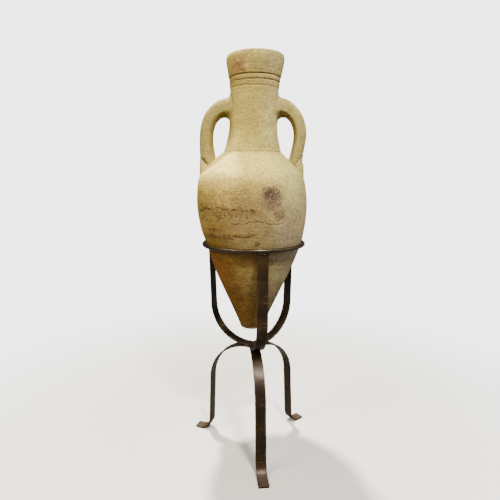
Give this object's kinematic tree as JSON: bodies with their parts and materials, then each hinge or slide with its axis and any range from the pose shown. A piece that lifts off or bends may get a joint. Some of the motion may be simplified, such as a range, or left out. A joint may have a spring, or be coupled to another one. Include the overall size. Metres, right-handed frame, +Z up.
{
  "type": "amphora",
  "caption": "Pointed clay amphora with loop handles on the neck, resting by its taper in the ring of a wrought-iron stand with bent bar legs, from which it lifts straight out.",
  "frame": {"origin": "on the floor, under the middle of the bounding box", "axes": "+Z up along the amphora's axis, handles along +X and -X, the front leg toward -Y"},
  "size_m": [0.3528, 0.3614, 1.119],
  "materials": {
    "toe": "bare fired clay, saturated ochre brown, slightly dusty",
    "lower_body": "bare fired clay, ochre, darker and browner toward the point",
    "upper_body": "bare fired clay, pale buff, fine pits and throwing lines",
    "neck": "bare fired clay, buff to khaki",
    "rim_collar": "bare fired clay, buff to khaki, a few brown stains",
    "handle_left": "bare fired clay, buff, browner underneath",
    "handle_right": "bare fired clay, buff, browner underneath",
    "ring": "dark brown waxed wrought iron, semi-gloss, grey where rubbed",
    "cradle_bar_front": "dark brown waxed wrought iron, semi-gloss, grey where rubbed",
    "cradle_bar_left": "dark brown waxed wrought iron, semi-gloss, grey where rubbed",
    "cradle_bar_right": "dark brown waxed wrought iron, semi-gloss, grey where rubbed",
    "leg_bar_front": "dark brown waxed wrought iron, semi-gloss, grey where rubbed",
    "leg_bar_left": "dark brown waxed wrought iron, semi-gloss, grey where rubbed",
    "leg_bar_right": "dark brown waxed wrought iron, semi-gloss, grey where rubbed",
    "hub_weld_front": "dark iron weld metal, rough",
    "hub_weld_left": "dark iron weld metal, rough",
    "hub_weld_right": "dark iron weld metal, rough",
    "ring_weld_front": "dark iron weld metal, rough",
    "ring_weld_left": "dark iron weld metal, rough",
    "ring_weld_right": "dark iron weld metal, rough"
  },
  "bodies": {
    "stand": {"ring": "ring", "cradle_bar_front": "cradle_bar_front", "cradle_bar_left": "cradle_bar_left", "cradle_bar_right": "cradle_bar_right", "leg_bar_front": "leg_bar_front", "leg_bar_left": "leg_bar_left", "leg_bar_right": "leg_bar_right", "hub_weld_front": "hub_weld_front", "hub_weld_left": "hub_weld_left", "hub_weld_right": "hub_weld_right", "ring_weld_front": "ring_weld_front", "ring_weld_left": "ring_weld_left", "ring_weld_right": "ring_weld_right"},
    "amphora": {"toe": "toe", "lower_body": "lower_body", "upper_body": "upper_body", "neck": "neck", "rim_collar": "rim_collar", "handle_left": "handle_left", "handle_right": "handle_right"}
  },
  "joints": [
    {"name": "amphora_lift", "type": "slide", "parent": "stand", "child": "amphora", "axis": [0, 0, 1], "range_m": [0, 0.3]}
  ]
}
